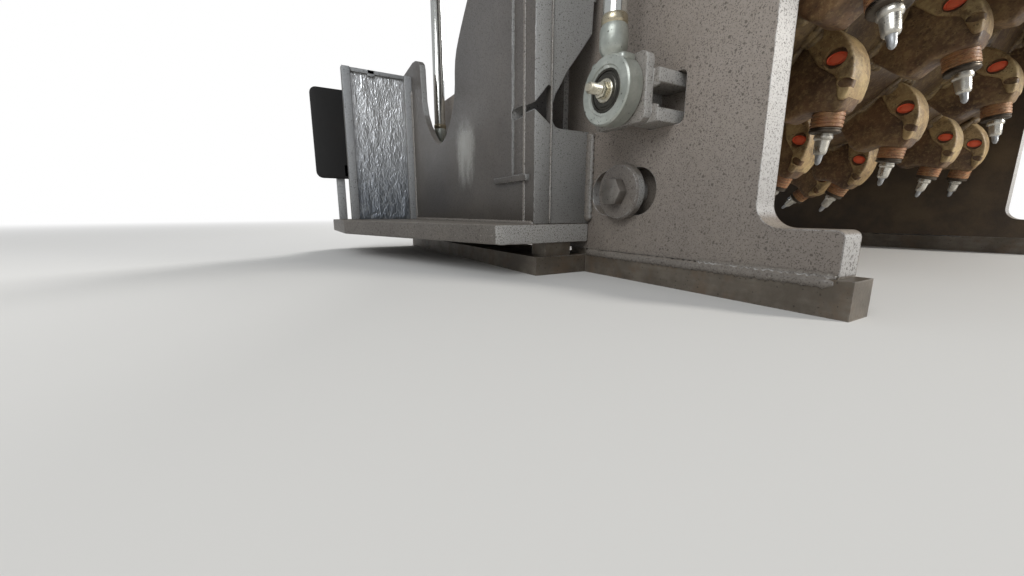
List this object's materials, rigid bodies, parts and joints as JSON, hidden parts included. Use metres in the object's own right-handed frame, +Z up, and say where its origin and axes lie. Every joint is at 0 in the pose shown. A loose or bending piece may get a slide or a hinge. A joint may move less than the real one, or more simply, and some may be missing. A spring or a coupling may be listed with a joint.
{
  "type": "cold planer milling drum unit",
  "caption": "Milling drum unit with helical picks in an open-bottomed housing, sliding side plates on lift cylinders, a rear scraper and a front hold-down.",
  "frame": {"origin": "on the ground in the middle of the unit's outer box", "axes": "+X to the unit's right, +Y forward in the direction of travel, +Z up"},
  "size_m": [1.878, 1.319, 1.19],
  "materials": {
    "grey_paint": "satin, dusty, with fine dark specks",
    "wear_steel": "worn, brown-grey",
    "pipe_steel": "plain pipe",
    "cast_hub": "plain",
    "drum_steel": "rusty, dusty",
    "holder_steel": "rusty, with ochre dust",
    "pick_steel": "worn bright",
    "foil_panel": "creased, reflective",
    "rod_chrome": "polished",
    "bolt_steel": "dusty",
    "flap_rubber": "matt"
  },
  "bodies": {
    "housing": {"wall_left": "grey_paint", "wall_right": "grey_paint", "drum_cover": "grey_paint", "front_wall": "grey_paint", "beam_left": "grey_paint", "beam_right": "grey_paint", "cross_beams": "grey_paint", "drive_hub": "cast_hub", "bearing_hub": "cast_hub", "guides_left": "grey_paint", "guides_right": "grey_paint", "lift_barrels_left": "grey_paint", "lift_barrels_right": "grey_paint", "spray_bar": "pipe_steel", "hold_down_brackets": "grey_paint", "scraper_guides": "grey_paint", "scraper_barrels": "grey_paint"},
    "drum": {"drum_tube": "drum_steel", "pick_holders": "holder_steel", "picks": "pick_steel", "ejectors": "drum_steel"},
    "side_left": {"plate_left": "grey_paint", "runner_left": "wear_steel", "shoe_left": "wear_steel", "skid_left": "grey_paint", "box_left": "grey_paint", "u_wall_left": "grey_paint", "panel_left": "foil_panel", "rod_lug_left": "grey_paint", "lift_rods_left": "rod_chrome", "slot_bolt_left": "bolt_steel", "flap_left": "flap_rubber"},
    "side_right": {"plate_right": "grey_paint", "runner_right": "wear_steel", "shoe_right": "wear_steel", "skid_right": "grey_paint", "box_right": "grey_paint", "u_wall_right": "grey_paint", "panel_right": "foil_panel", "rod_lug_right": "grey_paint", "lift_rods_right": "rod_chrome", "slot_bolt_right": "bolt_steel", "flap_right": "flap_rubber"},
    "scraper": {"scraper_plate": "grey_paint", "scraper_blade": "wear_steel", "scraper_rods": "rod_chrome"},
    "hold_down": {"hold_down_arms": "grey_paint", "hold_down_shoe": "grey_paint"}
  },
  "joints": [
    {"name": "drum_spin", "type": "hinge", "parent": "housing", "child": "drum", "pos_m": [0, -0.0805, 0.54], "axis": [1, 0, 0], "continuous": true},
    {"name": "side_left_lift", "type": "slide", "parent": "housing", "child": "side_left", "axis": [0, 0, 1], "range_m": [-0.03, 0.33]},
    {"name": "side_right_lift", "type": "slide", "parent": "housing", "child": "side_right", "axis": [0, 0, 1], "range_m": [-0.03, 0.33]},
    {"name": "scraper_lift", "type": "slide", "parent": "housing", "child": "scraper", "axis": [0, 0, 1], "range_m": [-0.33, 0]},
    {"name": "hold_down_swing", "type": "hinge", "parent": "housing", "child": "hold_down", "pos_m": [0, 0.4665, 0.465], "axis": [1, 0, 0], "range_deg": [0, 25]}
  ]
}
